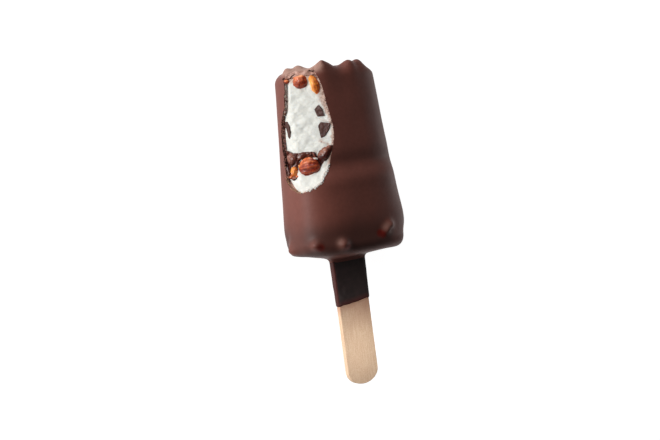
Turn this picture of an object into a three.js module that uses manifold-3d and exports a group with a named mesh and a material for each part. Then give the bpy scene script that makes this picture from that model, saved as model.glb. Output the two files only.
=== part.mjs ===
// An ice cream bar on a flat wooden stick, lying on its back with its front up. The body is white ice
// cream with a layer of fudge and nuts across it, in a dark chocolate coating that is bitten open down
// one upper corner. All sizes are in millimetres.
//
// The bar is drawn in a frame of its own and then laid down: x runs across the bar, y up its axis to the
// top, z out of its front, and y = 0 is the foot of the body. The bite has a frame of its own too: u runs
// across the bite, y up the bar, and depth out of the bite along its facing direction.
import * as THREE from 'three';
import { mergeVertices } from 'three/addons/utils/BufferGeometryUtils.js';
import Module from 'manifold-3d';

const wasm = await Module();
wasm.setup();
const { lerp, smoothstep, degToRad } = THREE.MathUtils;

// ---- Body: a tapering bar with a rounded, box-like section -----------------------------------------
const BODY_LENGTH = 77.1;
const FOOT_HALF_WIDTH = 26.1;
const FOOT_HALF_DEPTH = 17.2;
const TOP_HALF_WIDTH = 20.6;
const TOP_HALF_DEPTH = 13.5;
const SECTION_POWER = 2.8;        // 2 would be an ellipse, and a large number a rectangle
const TOP_RIM = 4.6;                // radius of the rounded edge at the top
const FOOT_RIM = 5.6;
const FOOT_DOME = 1.6;            // how far the foot swells down towards the stick
const FOOT_LIFT = 1.7;            // how much higher the foot is along its left side
const FOOT_DROP = 0.9;            // and how much lower along its right side
const TOP_CROWN = 0.5;
const NECK = { level: 37.3, spread: 4, size: -1.3 };   // the front falls in here
const SHOULDER = { level: 31, spread: 4, size: 0.5 };  // and swells below

// ---- Coating ------------------------------------------------------------------------------------
const COATING = 1.8;
const GAP = 0.3;                  // clearance between pieces that touch
const FLAT_TRIM = 0.45;           // depth of the flat spot that the bar rests on
const FACET_RISE = 0.15;          // how far the corners of the facets stand out of the smooth surface

// Knobs of nut under the coating, and shallow dents with a height below zero. Those at the top have x and z
// on the rim, height, reach across and down the side, and a power: 2 is round and 1 a peak.
const TOP_KNOBS = [
  { x: -18.2, z: 1.0, height: 2.0, across: 2.2, down: 3.5, power: 2 },
  { x: -13.4, z: 2.6, height: 2.1, across: 2.6, down: 4, power: 2 },
  { x: -8.0, z: 11.6, height: 4.0, across: 3.1, down: 7, power: 1.5 },
  { x: -4.5, z: 11.2, height: 1.1, across: 2.6, down: 6, power: 2 },
  { x: 5.2, z: 11.4, height: 2.5, across: 3.0, down: 6, power: 2.2 },
  { x: 10.8, z: 9.2, height: 2.0, across: 2.8, down: 5, power: 2.2 },
  { x: 16.0, z: -6.5, height: 0.7, across: 2.8, down: 5, power: 2 },
  { x: 17.0, z: 6.5, height: -1.5, across: 3.2, down: 4, power: 2 },
  { x: 5.5, z: -10.5, height: 1.4, across: 3.0, down: 5, power: 2 },
  { x: -6.0, z: -9.8, height: 1.2, across: 2.6, down: 4, power: 2 },
];
const FOOT_KNOBS = [
  { x: -25.6, y: 3.8, z: -1.2, height: 2.0, reach: 3.2 },
  { x: -22.1, y: 6.4, z: 11.6, height: 2.0, reach: 2.2 },
  { x: -11.5, y: 5.3, z: 16.3, height: 2.0, reach: 2.2 },
  { x: 9.6, y: 8.2, z: 16.4, height: 1.6, reach: 1.8 },
  { x: 11.9, y: 9.9, z: 16.0, height: 1.6, reach: 1.8 },
  { x: 24.8, y: 9.5, z: -4.0, height: 0.8, reach: 2.6 },
  { x: -22.0, y: 0.8, z: -8.0, height: 1.3, reach: 3.0 },
  { x: -24.6, y: 5.0, z: -8.5, height: -1.4, reach: 4.5 },
  { x: -25.4, y: 9.8, z: -5.0, height: -0.6, reach: 3.0 },
  { x: 24.0, y: 22.0, z: 8.0, height: 0.7, reach: 19.0 },
  { x: 22.8, y: 13.0, z: 11.3, height: 0.6, reach: 7.0 },
  { x: 23.5, y: 4.2, z: 9.0, height: -1.6, reach: 3.6 },
];

// ---- Bite: a slice off the front left corner, from the top down past the fudge ----------------------
const BITE_TURN = degToRad(44.4); // how far the bite faces round from the front to the left
const BITE_DEPTH = 15.7;          // distance of the bitten face from the bar's axis
const BITE_LIFT_LEVEL = 38.5;       // below this level the face curves out to the coating
const BITE_LIFT_RUN = 10;
const BITE_LIFT = 5.8;
const BITE_TIP = 27.7;            // lowest level of the bite
const LEFT_TURN = degToRad(60);   // how far the cut along the bite's left edge faces round to the left
const SMEAR_LEFT = -8;            // right of this the filling reaches out to the coating's surface
const SMEAR_TOP = 73.0;           // and it ends below the coating of the top
const FAR = 45;                   // reach of the cutting solids, past every side of the body
const PAST_TOP = 90;              // level past the top of the body
const FACE_ACROSS = [-24, 14];    // stretch of u and of y that the bitten face is drawn over
const FACE_ALONG = [24, 84];

// ---- Fudge layer -----------------------------------------------------------------------------------
const FUDGE_TOP = 44.0;
const FUDGE_FOOT = 35.4;
const PROFILE_STEP = 1.25;

// ---- Nuts in the bite: centre, half sizes across, along and out, and turn in the bitten face --------
const NUTS = {
  nut_top_left: { u: -6.9, y: 72.6, depth: 15.0, size: [3.1, 3.0, 2.9], turn: 10, colour: 0xa0451f },
  nut_top_right: { u: -1.25, y: 70.1, depth: 15.2, size: [2.2, 4.2, 2.4], turn: 15, colour: 0xe0923c },
  nut_bit: { u: -12.6, y: 73.3, depth: 15.3, size: [0.9, 0.8, 0.9], turn: 0, colour: 0xb04a28 },
  nut_middle: { u: -7.7, y: 37.9, depth: 15.6, size: [4.3, 3.6, 3.0], turn: 4, colour: 0x8c3a20 },
  nut_small: { u: -14.2, y: 36.6, depth: 15.5, size: [1.65, 2.1, 1.5], turn: -8, colour: 0xd9752c },
  nut_crumb: { u: -14.3, y: 34.1, depth: 16.3, size: [1.1, 0.8, 0.9], turn: 20, colour: 0x6a2216 },
  nut_coated: { u: -0.7, y: 42.5, depth: 15.3, size: [2.2, 3.9, 2.3], turn: -46, colour: 0x4a1a10 },
};
const NUT_SIDES = 14;
const NUT_RINGS = 9;

// ---- Chocolate chips in the bite: facing direction, level of the face, and outline across and up -----
const CHIP_THICKNESS = 2.2;
const CHIP_PROUD = 0.45;
const SIDE_TURN = degToRad(88);   // the left chip lies on the side of the ice cream
const SIDE_DEPTH = 20.3;
const CHIPS = {
  chip_upper: {
    turn: BITE_TURN,
    depth: BITE_DEPTH,
    outline: [[-0.6, 62.5], [0.6, 60.6], [1.3, 57.7], [-1.6, 57.6], [-2.6, 60.7]],
  },
  chip_lower: {
    turn: BITE_TURN,
    depth: BITE_DEPTH,
    outline: [[-1.9, 54.0], [-0.7, 55.4], [3.1, 54.5], [2.7, 52.4], [0.2, 49.5], [-1.4, 48.9]],
  },
  chip_left: {
    turn: SIDE_TURN,
    depth: SIDE_DEPTH,
    outline: [[-1.9, 57.3], [-0.6, 57.1], [0.2, 55.2], [0.6, 52.9], [0.2, 51.0], [-0.6, 50.1], [-1.2, 50.8],
      [-1.5, 52.7], [-2.0, 54.8]],
  },
};

// ---- Stick and the chocolate that it was dipped in ---------------------------------------------------
const STICK_OFFSET = -0.35;        // the stick sits a little left of the middle
const STICK_HALF_WIDTH = 7.55;
const STICK_HALF_THICKNESS = 1.1;
const STICK_FOOT = -55.3;
const STICK_END_RISE = 5.8;
const STICK_TOP = 25;
const STICK_BEVEL = 0.25;
const STICK_SLACK = 0.15;
const DIP_WALL = 0.4;
const DIP_SWELL = 0.35;
const DIP_FOOT = -20.8;
const DIP_SLANT = degToRad(5.8);
const DIP_TOP = -1.8;
const COLLAR_FOOT = -3.2;
const COLLAR_TOP = 1.2;
const COLLAR_WALL = 0.9;
const COLLAR_FLARE = 6.5;
const WRAP_SIDES = 32;

const COLOURS = {
  coating: 0x55352b, ice_cream: 0xecebe4, fudge: 0x4a1f15, chip: 0x4d2f2b, wood: 0xd2b396, dip: 0x2c1e1c,
};

// ---- Small helpers -----------------------------------------------------------------------------------
const bell = (distance, reach) => Math.exp(-((distance / reach) ** 2));

// The frame of a face that is turned from the front towards the left, as a change of basis.
function turnedBasis(turn) {
  const across = new THREE.Vector3(Math.cos(turn), 0, Math.sin(turn));
  const out = new THREE.Vector3(-Math.sin(turn), 0, Math.cos(turn));
  return new THREE.Matrix4().makeBasis(across, new THREE.Vector3(0, 1, 0), out);
}

const BITE_BASIS = turnedBasis(BITE_TURN);

function bitePoint(u, y, depth) {
  return new THREE.Vector3(u, y, depth).applyMatrix4(BITE_BASIS);
}

function toSolid(geometry) {
  const bare = geometry.clone();
  bare.deleteAttribute('normal');
  bare.deleteAttribute('uv');
  const merged = mergeVertices(bare, 1e-5);
  const vertProperties = new Float32Array(merged.attributes.position.array);
  const triVerts = new Uint32Array(merged.index.array);
  return new wasm.Manifold(new wasm.Mesh({ numProp: 3, vertProperties, triVerts }));
}

function toGeometry(solid) {
  const { vertProperties, triVerts } = solid.getMesh();
  const geometry = new THREE.BufferGeometry();
  geometry.setAttribute('position', new THREE.BufferAttribute(new Float32Array(vertProperties), 3));
  geometry.setIndex(new THREE.BufferAttribute(new Uint32Array(triVerts), 1));
  return geometry;
}

// A closed skin over rings of points that run up the bar, each turning the same way, with an end point.
function skin(rings, low, high) {
  const sides = rings[0].length;
  const points = [low, ...rings.flat(), high];
  const last = points.length - 1;
  const at = (ring, side) => 1 + ring * sides + (side % sides);
  const index = [];
  for (let side = 0; side < sides; side += 1) {
    index.push(0, at(0, side), at(0, side + 1));
    index.push(last, at(rings.length - 1, side + 1), at(rings.length - 1, side));
    for (let ring = 0; ring < rings.length - 1; ring += 1) {
      index.push(at(ring, side), at(ring + 1, side), at(ring + 1, side + 1));
      index.push(at(ring, side), at(ring + 1, side + 1), at(ring, side + 1));
    }
  }
  const geometry = new THREE.BufferGeometry().setFromPoints(points);
  geometry.setIndex(index);
  return geometry;
}

// ---- Body forms ----------------------------------------------------------------------------------------
function halfSizes(y) {
  const share = y / BODY_LENGTH;
  return {
    width: lerp(FOOT_HALF_WIDTH, TOP_HALF_WIDTH, share),
    depth: lerp(FOOT_HALF_DEPTH, TOP_HALF_DEPTH, share),
  };
}

function sectionPoint(angle, y, halfWidth, halfDepth) {
  const across = Math.abs(Math.cos(angle) / halfWidth) ** SECTION_POWER;
  const out = Math.abs(Math.sin(angle) / halfDepth) ** SECTION_POWER;
  const reach = (across + out) ** (-1 / SECTION_POWER);
  return new THREE.Vector3(reach * Math.cos(angle), y, reach * Math.sin(angle));
}

// The levels of a body that is shrunk all round: each with the inset of its rim and its share of width.
function bodyLevels(shrink, { faceSteps, rimSteps, wallSteps }) {
  const footRim = FOOT_RIM - shrink / 2;
  const topRim = TOP_RIM - shrink / 2;
  const foot = shrink;
  const top = BODY_LENGTH - shrink;
  const levels = [];
  for (let i = 1; i < faceSteps; i += 1) {
    const scale = Math.sin((i / faceSteps) * Math.PI / 2);
    levels.push({ y: foot - FOOT_DOME * (1 - scale ** 2), inset: footRim, scale });
  }
  for (let i = 0; i < rimSteps; i += 1) {
    const turn = (i / rimSteps) * Math.PI / 2;
    const y = foot + footRim * (1 - Math.cos(turn));
    levels.push({ y, inset: footRim * (1 - Math.sin(turn)), scale: 1 });
  }
  for (let i = 0; i <= wallSteps; i += 1) {
    // Levels lie closer together towards both ends.
    const share = i / wallSteps;
    const eased = share - Math.sin(2 * Math.PI * share) / 14;
    levels.push({ y: lerp(foot + footRim, top - topRim, eased), inset: 0, scale: 1 });
  }
  for (let i = rimSteps - 1; i >= 0; i -= 1) {
    const turn = (i / rimSteps) * Math.PI / 2;
    levels.push({ y: top - topRim * (1 - Math.cos(turn)), inset: topRim * (1 - Math.sin(turn)), scale: 1 });
  }
  for (let i = faceSteps - 1; i > 0; i -= 1) {
    const scale = Math.sin((i / faceSteps) * Math.PI / 2);
    levels.push({ y: top + TOP_CROWN * (1 - scale ** 2), inset: topRim, scale });
  }
  return levels;
}

// The foot rises towards the left side of the bar, drops towards the right, and fades into the walls.
function lifted(point) {
  const left = smoothstep(-point.x, 4, FOOT_HALF_WIDTH);
  const right = smoothstep(point.x, 8, FOOT_HALF_WIDTH);
  const fade = 1 - smoothstep(point.y, 0, BODY_LENGTH / 3);
  return point.clone().setY(point.y + (FOOT_LIFT * left - FOOT_DROP * right) * fade);
}

function knobShift(point) {
  const shift = new THREE.Vector3();
  const { width, depth } = halfSizes(point.y);
  const outward = new THREE.Vector3(point.x / width ** 2, 0, point.z / depth ** 2).normalize();
  for (const knob of TOP_KNOBS) {
    const away = Math.hypot(point.x - knob.x, point.z - knob.z) / knob.across;
    const near = Math.exp(-(away ** knob.power));
    const fade = bell(Math.max(0, BODY_LENGTH - point.y), knob.down);
    const push = new THREE.Vector3(0, 1, 0).addScaledVector(outward, 0.25).normalize();
    shift.addScaledVector(push, knob.height * near * fade);
  }
  for (const knob of FOOT_KNOBS) {
    const away = point.distanceTo(new THREE.Vector3(knob.x, knob.y, knob.z));
    shift.addScaledVector(outward, knob.height * bell(away, knob.reach));
  }
  return shift;
}

// The front falls in at the neck and swells at the shoulder.
function waisted(point) {
  const front = smoothstep(point.z / halfSizes(point.y).depth, 0.3, 0.95);
  const swells = [NECK, SHOULDER].map(({ level, spread, size }) => size * bell(point.y - level, spread));
  return point.clone().setZ(point.z + front * (swells[0] + swells[1]));
}

function bodyForm(shrink, detail, knobs = false) {
  const rings = bodyLevels(shrink, detail).map(({ y, inset, scale }) => {
    const half = halfSizes(y);
    const ring = [];
    for (let i = 0; i < detail.sides; i += 1) {
      const angle = (i / detail.sides) * 2 * Math.PI;
      const width = (half.width - shrink - inset) * scale;
      const depth = (half.depth - shrink - inset) * scale;
      const point = waisted(lifted(sectionPoint(angle, y, width, depth)));
      ring.push(knobs ? point.clone().add(knobShift(point)) : point);
    }
    return ring;
  });
  const low = new THREE.Vector3(0, shrink - FOOT_DOME, 0);
  const high = new THREE.Vector3(0, BODY_LENGTH - shrink + TOP_CROWN, 0);
  return toSolid(skin(rings, low, high));
}

// ---- Cutting forms -------------------------------------------------------------------------------------
// A prism over an outline given by [across, y] pairs, from one distance to another along a direction.
function prism(outline, basis, from, to) {
  const shape = new THREE.Shape(outline.map(([across, y]) => new THREE.Vector2(across, y)));
  const geometry = new THREE.ExtrudeGeometry(shape, { depth: to - from, bevelEnabled: false });
  geometry.translate(0, 0, from);
  geometry.applyMatrix4(basis);
  return toSolid(geometry);
}

function biteFace(y) {
  const down = Math.max(0, (BITE_LIFT_LEVEL - y) / BITE_LIFT_RUN);
  return BITE_DEPTH + BITE_LIFT * down ** 1.6;
}

// Everything that lies further out than the bitten face, whose relief is a function of u and y.
function beyondFace(relief, steps) {
  const [uSteps, ySteps] = steps;
  const nearFace = [];
  const farFace = [];
  for (let j = 0; j <= ySteps; j += 1) {
    for (let i = 0; i <= uSteps; i += 1) {
      const u = lerp(...FACE_ACROSS, i / uSteps);
      const y = lerp(...FACE_ALONG, j / ySteps);
      nearFace.push(bitePoint(u, y, biteFace(y) + relief(u, y)));
      farFace.push(bitePoint(u, y, FAR));
    }
  }
  const row = uSteps + 1;
  const offset = nearFace.length;
  const index = [];
  const quad = (a, b, c, d) => index.push(a, b, c, a, c, d);
  for (let j = 0; j < ySteps; j += 1) {
    for (let i = 0; i < uSteps; i += 1) {
      const a = j * row + i;
      quad(a, a + row, a + row + 1, a + 1);
      quad(offset + a, offset + a + 1, offset + a + row + 1, offset + a + row);
    }
  }
  for (let i = 0; i < uSteps; i += 1) {
    const top = ySteps * row + i;
    quad(i, i + 1, offset + i + 1, offset + i);
    quad(top, offset + top, offset + top + 1, top + 1);
  }
  for (let j = 0; j < ySteps; j += 1) {
    const left = j * row;
    const right = left + uSteps;
    quad(left, offset + left, offset + left + row, left + row);
    quad(right, right + row, offset + right + row, offset + right);
  }
  const geometry = new THREE.BufferGeometry().setFromPoints([...nearFace, ...farFace]);
  geometry.setIndex(index);
  return toSolid(geometry);
}

// The opening that the bite leaves in the coating, drawn in by a margin. Its right side is cut along the
// bite's facing direction, and its left side further round towards the left of the bar.
function opening(margin) {
  const rightSide = [
    [-11.2, BITE_TIP], [-6.3, 29.2], [-3.8, 30.0], [-2.0, 31.5], [-1.0, 34.0], [0.6, 36.4], [1.4, 39.6],
    [3.3, 45.2], [4.1, 48.6], [4.3, 52.3], [3.7, 57.3], [2.7, 63.5], [1.9, 70.5], [0.9, 73.4], [-0.8, 77],
    [-1.5, PAST_TOP],
  ];
  const leftSide = [
    [-9.0, PAST_TOP], [-8.9, 71.5], [-9.7, 65.5], [-10.4, 62.1], [-12.0, 59.8], [-13.1, 55], [-14.1, 50],
    [-14.0, 45], [-13.4, 40.3], [-12.8, 33], [-11.5, 30.9], [-8.85, 29.4], [-4.8, BITE_TIP],
  ];
  const low = BITE_TIP + margin;
  const right = rightSide.map(([u, y]) => [u - margin, Math.max(y, low)]);
  const left = leftSide.map(([across, y]) => [across + margin, Math.max(y, low)]);
  const fromRight = prism([...right, [-FAR, PAST_TOP], [-FAR, low]], BITE_BASIS, 0, FAR);
  const fromLeft = prism([[FAR, PAST_TOP], ...left, [FAR, low]], turnedBasis(LEFT_TURN), 0, FAR);
  return fromRight.intersect(fromLeft);
}

// ---- Layers across the bar -------------------------------------------------------------------------------
function fudgeTop(u) {
  return FUDGE_TOP + 1.5 * smoothstep(u, -3.5, 1.2) + 1.3 * bell(u + 16.3, 2.2) - 2.2 * bell(u + 4.1, 0.9);
}

function fudgeFoot(u) {
  const climb = 7.3 * smoothstep(u, -5.4, 2.1);
  return FUDGE_FOOT + climb - 1.4 * bell(u + 17, 2) + 2.0 * bell(u + 12.2, 1.2) - 0.8 * bell(u + 8.3, 2.5);
}

// The stretch of the bar between two levels that are functions of u.
function layer(lowLevel, highLevel) {
  const low = [];
  const high = [];
  for (let u = -FAR; u <= FAR; u += PROFILE_STEP) {
    low.push([u, lowLevel(u)]);
    high.push([u, highLevel(u)]);
  }
  return prism([...low, ...high.reverse()], BITE_BASIS, -FAR, FAR);
}

// ---- Nuts and chips ----------------------------------------------------------------------------------
// A nut with a lengthwise crease and slightly flattened sides, grown all round by a margin.
function nut({ u, y, depth, size, turn }, margin = 0) {
  const geometry = new THREE.SphereGeometry(1, NUT_SIDES, NUT_RINGS);
  const place = new THREE.Matrix4().makeRotationZ(degToRad(turn)).setPosition(u, y, depth);
  const position = geometry.attributes.position;
  const point = new THREE.Vector3();
  for (let i = 0; i < position.count; i += 1) {
    point.fromBufferAttribute(position, i);
    const lump = 1 + 0.05 * Math.sin(3 * point.x + 2 * point.y) + 0.04 * Math.cos(4 * point.z);
    point.multiplyScalar(lump);
    point.set(...size.map((half, axis) => point.getComponent(axis) * (half + margin)));
    point.applyMatrix4(place).applyMatrix4(BITE_BASIS);
    position.setXYZ(i, ...point);
  }
  return toSolid(geometry);
}

function chip({ turn, depth, outline }, margin = 0) {
  const centre = new THREE.Vector2();
  outline.forEach(([u, y]) => centre.add(new THREE.Vector2(u, y).divideScalar(outline.length)));
  const grown = outline.map(([u, y]) => {
    const arm = new THREE.Vector2(u, y).sub(centre);
    arm.setLength(arm.length() + 1.5 * margin).add(centre);
    return [arm.x, arm.y];
  });
  const face = depth + CHIP_PROUD;
  return prism(grown, turnedBasis(turn), face - CHIP_THICKNESS - margin, face + margin);
}

// ---- Stick, dip and collar ---------------------------------------------------------------------------
function stickForm(slack) {
  const half = STICK_HALF_WIDTH + slack;
  const rise = STICK_END_RISE + slack;
  const foot = STICK_FOOT + STICK_END_RISE;
  const top = STICK_TOP - STICK_END_RISE;
  const shape = new THREE.Shape();
  shape.moveTo(half, foot);
  shape.lineTo(half, top);
  shape.absellipse(0, top, half, rise, 0, Math.PI, false);
  shape.lineTo(-half, foot);
  shape.absellipse(0, foot, half, rise, Math.PI, 2 * Math.PI, false);
  const thickness = 2 * (STICK_HALF_THICKNESS + slack - STICK_BEVEL);
  const geometry = new THREE.ExtrudeGeometry(shape, {
    depth: thickness,
    bevelThickness: STICK_BEVEL,
    bevelSize: STICK_BEVEL,
    bevelOffset: -STICK_BEVEL,
    bevelSegments: 1,
    curveSegments: 8,
  });
  geometry.translate(STICK_OFFSET, 0, -thickness / 2);
  return toSolid(geometry);
}

// One ring round the stick: a rectangle grown by a wall, with rounded corners.
function stickRing(y, wall) {
  const ring = [];
  for (let i = 0; i < WRAP_SIDES; i += 1) {
    const angle = (i / WRAP_SIDES) * 2 * Math.PI;
    const x = Math.sign(Math.cos(angle)) * Math.abs(Math.cos(angle)) ** 0.5 * (STICK_HALF_WIDTH + wall);
    const z = Math.sign(Math.sin(angle)) * Math.abs(Math.sin(angle)) ** 0.5 * (STICK_HALF_THICKNESS + wall);
    ring.push(new THREE.Vector3(STICK_OFFSET + x, y, z));
  }
  return ring;
}

function wrapForm(levels) {
  const rings = levels.map(([y, wall]) => stickRing(y, wall));
  const low = new THREE.Vector3(STICK_OFFSET, levels[0][0], 0);
  const high = new THREE.Vector3(STICK_OFFSET, levels[levels.length - 1][0], 0);
  return toSolid(skin(rings, low, high));
}

function dipForm(margin) {
  const wall = STICK_SLACK + DIP_WALL + margin;
  const levels = [[DIP_FOOT - 2, wall], [DIP_FOOT + 4, wall], [-9, wall + DIP_SWELL / 2]];
  levels.push([DIP_TOP + margin, wall + DIP_SWELL]);
  return wrapForm(levels);
}

function collarForm() {
  const levels = [];
  for (let i = 0; i <= 5; i += 1) {
    const share = i / 5;
    levels.push([lerp(COLLAR_FOOT, COLLAR_TOP, share), COLLAR_WALL + COLLAR_FLARE * share ** 2.2]);
  }
  return wrapForm(levels);
}

// Everything below a level, tilted across the bar.
function below(y, slant) {
  const geometry = new THREE.BoxGeometry(2 * FAR, 2 * FAR, 2 * FAR);
  geometry.translate(0, -FAR, 0);
  geometry.rotateZ(slant);
  geometry.translate(0, y, 0);
  return toSolid(geometry);
}

// ---- Laying the bar down -----------------------------------------------------------------------------
const LEAN = Math.atan((FOOT_HALF_DEPTH - TOP_HALF_DEPTH) / BODY_LENGTH);

function restingBlock() {
  const geometry = new THREE.BoxGeometry(4 * FAR, 4 * FAR, 2 * FAR);
  geometry.translate(0, 0, -FAR);
  geometry.rotateX(LEAN);
  geometry.translate(0, 0, FLAT_TRIM - FOOT_HALF_DEPTH);
  return toSolid(geometry);
}

// ---- Pieces ------------------------------------------------------------------------------------------
const OUTER_DETAIL = { sides: 64, faceSteps: 5, rimSteps: 4, wallSteps: 16 };
const INNER_DETAIL = { sides: 36, faceSteps: 2, rimSteps: 3, wallSteps: 8 };

function minusAll(solid, cutters) {
  return cutters.reduce((left, cutter) => left.subtract(cutter), solid);
}

const nutRooms = Object.values(NUTS).map((spec) => nut(spec, GAP));
const chipRooms = Object.values(CHIPS).map((spec) => chip(spec, GAP));

function coating() {
  const shell = bodyForm(-FACET_RISE, OUTER_DETAIL, true).add(collarForm());
  // The coating is cut flush with the face at the top of the bar, and away to the ice cream below that.
  const flush = (y) => smoothstep(y, BODY_LENGTH - COATING - 2, BODY_LENGTH - COATING - 0.6);
  const cut = beyondFace((u, y) => -3 * (1 - flush(y)), [2, 50]);
  return minusAll(shell, [
    bodyForm(COATING, INNER_DETAIL),
    opening(0).intersect(cut),
    restingBlock(),
    stickForm(GAP),
    dipForm(STICK_SLACK),
    ...nutRooms,
    ...chipRooms,
  ]);
}

// Ice cream and fudge: the inside of the coating, and a smear out to its surface along the right side of
// the opening.
function filling() {
  const right = [[SMEAR_LEFT, -FAR], [FAR, -FAR], [FAR, SMEAR_TOP], [SMEAR_LEFT, SMEAR_TOP]];
  const smear = opening(GAP).intersect(prism(right, BITE_BASIS, 0, FAR));
  return bodyForm(COATING + GAP, INNER_DETAIL).add(bodyForm(GAP, INNER_DETAIL).intersect(smear));
}

const creamRelief = (u, y) => 0.22 * Math.sin(1.1 * u + 0.6 * y) + 0.2 * Math.sin(0.9 * y - 0.7 * u + 2)
  + 0.12 * Math.sin(2.1 * u) * Math.cos(1.7 * y);
const fudgeRelief = (u, y) => 0.9 * bell(Math.hypot(u + 13.4, y - 42.7), 2) - 0.3
  + 0.7 * bell(Math.hypot((u + 6.9) / 1.8, y - 43.6), 1.3);

function iceCream(between) {
  const rest = filling().subtract(beyondFace(creamRelief, [18, 26])).intersect(between);
  return minusAll(rest, [stickForm(GAP), ...nutRooms, ...chipRooms]);
}

function fudge() {
  const between = layer((u) => fudgeFoot(u) + GAP / 2, (u) => fudgeTop(u) - GAP / 2);
  return minusAll(filling().subtract(beyondFace(fudgeRelief, [26, 36])).intersect(between), nutRooms);
}

function stickDip() {
  return minusAll(dipForm(0), [stickForm(STICK_SLACK), below(DIP_FOOT, DIP_SLANT)]);
}

// ---- Scene graph -------------------------------------------------------------------------------------
const bar = new THREE.Group();

function addPiece(name, solid, color, roughness) {
  const material = new THREE.MeshStandardMaterial({ color, roughness, metalness: 0 });
  const mesh = new THREE.Mesh(toGeometry(solid), material);
  mesh.name = name;
  bar.add(mesh);
}

addPiece('coating', coating(), COLOURS.coating, 0.42);
const aboveFudge = layer((u) => fudgeTop(u) + GAP / 2, () => FAR * 2);
const belowFudge = layer(() => -FAR, (u) => fudgeFoot(u) - GAP / 2);
addPiece('ice_cream_upper', iceCream(aboveFudge), COLOURS.ice_cream, 0.7);
addPiece('ice_cream_lower', iceCream(belowFudge), COLOURS.ice_cream, 0.7);
addPiece('fudge_layer', fudge(), COLOURS.fudge, 0.3);
// Where two nuts would touch, the first gives way to the second.
Object.entries(NUTS).forEach(([name, spec], order) => {
  addPiece(name, minusAll(nut(spec), nutRooms.slice(order + 1)), spec.colour, 0.35);
});
for (const [name, spec] of Object.entries(CHIPS)) {
  addPiece(name, chip(spec), COLOURS.chip, 0.5);
}
addPiece('stick', stickForm(0), COLOURS.wood, 0.75);
addPiece('stick_dip', stickDip(), COLOURS.dip, 0.3);

// The bar lies on the flat spot of its back, with the middle of its box over the origin.
bar.rotation.x = -LEAN;
bar.updateMatrixWorld(true);
const box = new THREE.Box3().setFromObject(bar, true);
const middle = box.getCenter(new THREE.Vector3());
bar.position.set(-middle.x, -middle.y, -box.min.z);

const iceCreamBar = new THREE.Group();
iceCreamBar.add(bar);

export default iceCreamBar;
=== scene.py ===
"""Dresses the packed ice cream bar: bitten, chocolate-coated, on a flat wooden stick, lying on its back.

Forms are worked out in millimetres in the bar's own frame, as the solids are: x across the bar, y up its
axis with 0 at the foot of the body, z out of its front. The bite's frame has u across, y up and depth out.
"""
import math
from itertools import product

import bmesh
import bpy
import numpy as np
from mathutils import Matrix, Vector
from mathutils.bvhtree import BVHTree

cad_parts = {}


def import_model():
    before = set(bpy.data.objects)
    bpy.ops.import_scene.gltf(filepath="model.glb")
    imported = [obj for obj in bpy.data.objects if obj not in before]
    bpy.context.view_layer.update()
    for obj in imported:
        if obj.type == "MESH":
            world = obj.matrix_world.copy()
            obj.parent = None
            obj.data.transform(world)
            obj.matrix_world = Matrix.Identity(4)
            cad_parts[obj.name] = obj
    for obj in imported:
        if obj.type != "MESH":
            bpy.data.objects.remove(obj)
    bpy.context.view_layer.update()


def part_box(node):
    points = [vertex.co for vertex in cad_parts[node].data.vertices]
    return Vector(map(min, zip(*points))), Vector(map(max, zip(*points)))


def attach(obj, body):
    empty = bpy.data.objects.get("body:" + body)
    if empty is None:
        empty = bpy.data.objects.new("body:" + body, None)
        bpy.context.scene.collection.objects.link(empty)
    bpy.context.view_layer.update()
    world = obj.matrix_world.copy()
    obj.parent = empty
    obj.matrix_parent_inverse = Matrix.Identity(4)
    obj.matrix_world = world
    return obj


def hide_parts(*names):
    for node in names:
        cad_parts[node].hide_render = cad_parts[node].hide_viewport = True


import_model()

MM = 0.001

# ---- Body ----
BODY_LENGTH = 77.1
FOOT_HALF_WIDTH, FOOT_HALF_DEPTH = 26.1, 17.2
TOP_HALF_WIDTH, TOP_HALF_DEPTH = 20.6, 13.5
SECTION_POWER = 2.8
TOP_RIM, FOOT_RIM = 4.6, 5.6
FOOT_DOME, FOOT_LIFT, TOP_CROWN = 1.6, 1.7, 0.5
FOOT_DROP = 0.9                   # how much lower the foot is along its right side
NECK = (37.3, 4.0, -1.3)          # level, spread and size of a swelling of the front
SHOULDER = (31.0, 4.0, 0.5)
COATING = 1.8
FLAT_TRIM = 0.45
SKIN_INSET = 0.05                 # keeps the smooth surface inside the faceted solid's box

# Knobs on the top rim: x, z, height, reach across, reach down the side, and power (2 is round, 1 a peak).
TOP_KNOBS = [
    (-18.2, 1.0, 2.0, 2.2, 3.5, 2.0), (-13.4, 2.6, 2.1, 2.6, 4, 2.0), (-8.0, 11.6, 4.0, 3.1, 7, 1.5),
    (-4.5, 11.2, 1.1, 2.6, 6, 2.0), (5.2, 11.4, 2.5, 3.0, 6, 2.2), (10.8, 9.2, 2.0, 2.8, 5, 2.2),
    (16.0, -6.5, 0.7, 2.8, 5, 2.0), (17.0, 6.5, -1.5, 3.2, 4, 2.0), (5.5, -10.5, 1.4, 3.0, 5, 2.0),
    (-6.0, -9.8, 1.2, 2.6, 4, 2.0),
]
# Knobs round the foot: x, y, z, height and reach.
FOOT_KNOBS = [
    (-25.6, 3.8, -1.2, 2.0, 3.2), (-22.1, 6.4, 11.6, 2.0, 2.2), (-11.5, 5.3, 16.3, 2.0, 2.2),
    (9.6, 8.2, 16.4, 1.6, 1.8), (11.9, 9.9, 16.0, 1.6, 1.8), (24.8, 9.5, -4.0, 0.8, 2.6),
    (-22.0, 0.8, -8.0, 1.3, 3.0), (-24.6, 5.0, -8.5, -1.4, 4.5), (-25.4, 9.8, -5.0, -0.6, 3.0),
    (24.0, 22.0, 8.0, 0.7, 19.0), (22.8, 13.0, 11.3, 0.6, 7.0), (23.5, 4.2, 9.0, -1.6, 3.6),
]
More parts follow.
